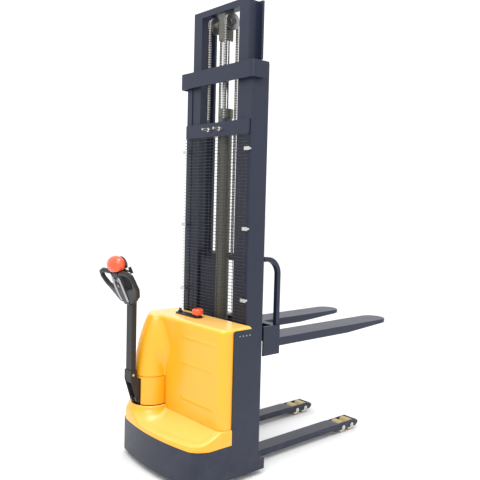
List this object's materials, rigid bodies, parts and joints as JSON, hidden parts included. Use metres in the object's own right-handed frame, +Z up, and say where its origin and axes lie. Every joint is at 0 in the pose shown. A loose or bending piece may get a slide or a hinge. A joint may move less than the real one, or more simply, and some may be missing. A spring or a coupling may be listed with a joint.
{
  "type": "electric pedestrian stacker",
  "caption": "Walk-behind electric stacker: raised fork carriage on a two-stage mast, straddle legs, yellow rear covers and an offset tiller.",
  "frame": {"origin": "on the floor below the centre of the overall bounding box; the truck's own centreline lies a little to the right of it because the tiller is offset to the left", "axes": "+X forward along the forks, +Y to the truck's left, +Z up"},
  "size_m": [1.7458, 0.751, 2.425],
  "materials": {
    "aluminium": "finned",
    "black_paint": "satin",
    "black_plastic": "moulded",
    "button_grey": "moulded",
    "cast": "as cast, painted",
    "chain": "oiled",
    "charcoal": "fine texture",
    "chrome": "polished",
    "cylinder_paint": "satin",
    "drive_tread": "moulded rubber",
    "grip_plastic": "moulded, fine grain",
    "navy": "satin powder coat",
    "red": "moulded",
    "steel": "machined, oiled",
    "wheel_pu": "cast polyurethane",
    "yellow": "glossy moulded shell",
    "zinc": "zinc plated"
  },
  "bodies": {
    "chassis": {"rear_skirt": "navy", "side_plate_right": "navy", "side_plate_left": "navy", "base_cross_member": "navy", "leg_left": "navy", "leg_right": "navy", "load_wheel_axles": "zinc", "inner_deck": "black_paint", "lower_cover": "yellow", "main_cover": "yellow", "switch_console": "black_plastic", "batteries": "black_plastic", "controller": "aluminium", "hydraulic_pump": "black_paint", "mast_rail_left": "navy", "mast_rail_right": "navy", "upper_beam": "navy", "lower_beam": "navy", "lift_cylinder": "cylinder_paint", "mast_fasteners": "zinc", "mesh_guard": "black_paint", "outer_rollers": "steel", "lift_pipe": "steel", "chain_anchor_runs": "chain"},
    "inner_mast": {"inner_rail_left": "navy", "inner_rail_right": "navy", "inner_ties": "navy", "inner_rollers": "steel", "piston_rod": "chrome", "sheave_bracket": "cylinder_paint"},
    "fork_carriage": {"carriage_frame": "navy", "carriage_rollers": "steel", "fork_left": "navy", "fork_right": "navy", "guard_bars": "navy", "chain_carriage_runs": "chain"},
    "chain_sheaves": {"chain_sheaves": "steel"},
    "drive_unit": {"drive_housing": "cast", "drive_motor": "black_paint", "steering_drum": "yellow", "tiller_clevis": "black_paint"},
    "drive_wheel": {"drive_wheel_hub": "cast", "drive_wheel_tyre": "drive_tread"},
    "tiller": {"tiller_bracket": "charcoal", "tiller_arm": "charcoal", "head_body": "black_plastic", "handle_loops": "grip_plastic"},
    "belly_button": {"belly_button": "red"},
    "thumb_levers": {"thumb_levers": "black_plastic"},
    "lift_button": {"lift_button": "button_grey"},
    "lower_button": {"lower_button": "button_grey"},
    "horn_button": {"horn_button": "button_grey"},
    "key_switch": {"key_switch": "black_plastic"},
    "stop_knob": {"stop_knob": "red"},
    "caster_fork": {"caster_fork": "zinc"},
    "caster_wheel": {"caster_wheel": "wheel_pu"},
    "load_wheel_right_rear": {"load_wheel_right_rear": "wheel_pu"},
    "load_wheel_right_front": {"load_wheel_right_front": "wheel_pu"},
    "load_wheel_left_rear": {"load_wheel_left_rear": "wheel_pu"},
    "load_wheel_left_front": {"load_wheel_left_front": "wheel_pu"}
  },
  "joints": [
    {"name": "inner_mast_lift", "type": "slide", "parent": "chassis", "child": "inner_mast", "axis": [0, 0, 1], "range_m": [-0.288, 1.157], "deforming": ["chain_anchor_runs"]},
    {"name": "carriage_lift", "type": "slide", "parent": "inner_mast", "child": "fork_carriage", "axis": [0, 0, 1], "range_m": [-0.288, 1.157], "deforming": ["chain_carriage_runs"]},
    {"name": "sheave_turn", "type": "hinge", "parent": "inner_mast", "child": "chain_sheaves", "pos_m": [-0.33209, -0.0245, 2.335], "axis": [0, 1, 0], "range_deg": [-450, 1760]},
    {"name": "steering", "type": "hinge", "parent": "chassis", "child": "drive_unit", "pos_m": [-0.60109, 0.2075, 0], "axis": [0, 0, 1], "range_deg": [-80, 80]},
    {"name": "drive_wheel_roll", "type": "hinge", "parent": "drive_unit", "child": "drive_wheel", "pos_m": [-0.60109, 0.2075, 0.1], "axis": [0, 1, 0], "continuous": true},
    {"name": "tiller_tilt", "type": "hinge", "parent": "drive_unit", "child": "tiller", "pos_m": [-0.69709, 0.2075, 0.322], "axis": [0, -1, 0], "range_deg": [0, 74], "stiffness_Nm_per_rad": 40, "springref_deg": -20.05},
    {"name": "belly_button_press", "type": "slide", "parent": "tiller", "child": "belly_button", "axis": [0.4226, 0, -0.9063], "range_m": [0, 0.009], "stiffness_N_per_m": 700},
    {"name": "thumb_lever_turn", "type": "hinge", "parent": "tiller", "child": "thumb_levers", "pos_m": [-0.76816, 0.2075, 1.02094], "axis": [0, 1, 0], "range_deg": [-30, 30], "stiffness_Nm_per_rad": 0.4},
    {"name": "lift_button_press", "type": "slide", "parent": "tiller", "child": "lift_button", "axis": [0.9063, 0, 0.4226], "range_m": [0, 0.0025], "stiffness_N_per_m": 400},
    {"name": "lower_button_press", "type": "slide", "parent": "tiller", "child": "lower_button", "axis": [0.9063, 0, 0.4226], "range_m": [0, 0.0025], "stiffness_N_per_m": 400},
    {"name": "horn_button_press", "type": "slide", "parent": "tiller", "child": "horn_button", "axis": [0.9063, 0, 0.4226], "range_m": [0, 0.0025], "stiffness_N_per_m": 400},
    {"name": "key_turn", "type": "hinge", "parent": "chassis", "child": "key_switch", "pos_m": [-0.46209, 0.1375, 0.783], "axis": [0, 0, -1], "range_deg": [0, 90]},
    {"name": "stop_knob_press", "type": "slide", "parent": "chassis", "child": "stop_knob", "axis": [0, 0, -1], "range_m": [0, 0.0035]},
    {"name": "caster_swivel", "type": "hinge", "parent": "chassis", "child": "caster_fork", "pos_m": [-0.60109, -0.2565, 0], "axis": [0, 0, 1], "continuous": true},
    {"name": "caster_roll", "type": "hinge", "parent": "caster_fork", "child": "caster_wheel", "pos_m": [-0.62909, -0.2565, 0.06], "axis": [0, 1, 0], "continuous": true},
    {"name": "load_wheel_right_rear_roll", "type": "hinge", "parent": "chassis", "child": "load_wheel_right_rear", "pos_m": [0.49091, -0.2195, 0.034], "axis": [0, 1, 0], "continuous": true},
    {"name": "load_wheel_right_front_roll", "type": "hinge", "parent": "chassis", "child": "load_wheel_right_front", "pos_m": [0.56891, -0.2195, 0.034], "axis": [0, 1, 0], "continuous": true},
    {"name": "load_wheel_left_rear_roll", "type": "hinge", "parent": "chassis", "child": "load_wheel_left_rear", "pos_m": [0.49091, 0.1705, 0.034], "axis": [0, 1, 0], "continuous": true},
    {"name": "load_wheel_left_front_roll", "type": "hinge", "parent": "chassis", "child": "load_wheel_left_front", "pos_m": [0.56891, 0.1705, 0.034], "axis": [0, 1, 0], "continuous": true}
  ],
  "couplings": [
    {"joint": "carriage_lift", "follows": "inner_mast_lift", "ratio": 1},
    {"joint": "sheave_turn", "follows": "inner_mast_lift", "rad_per_m": 26.316}
  ]
}
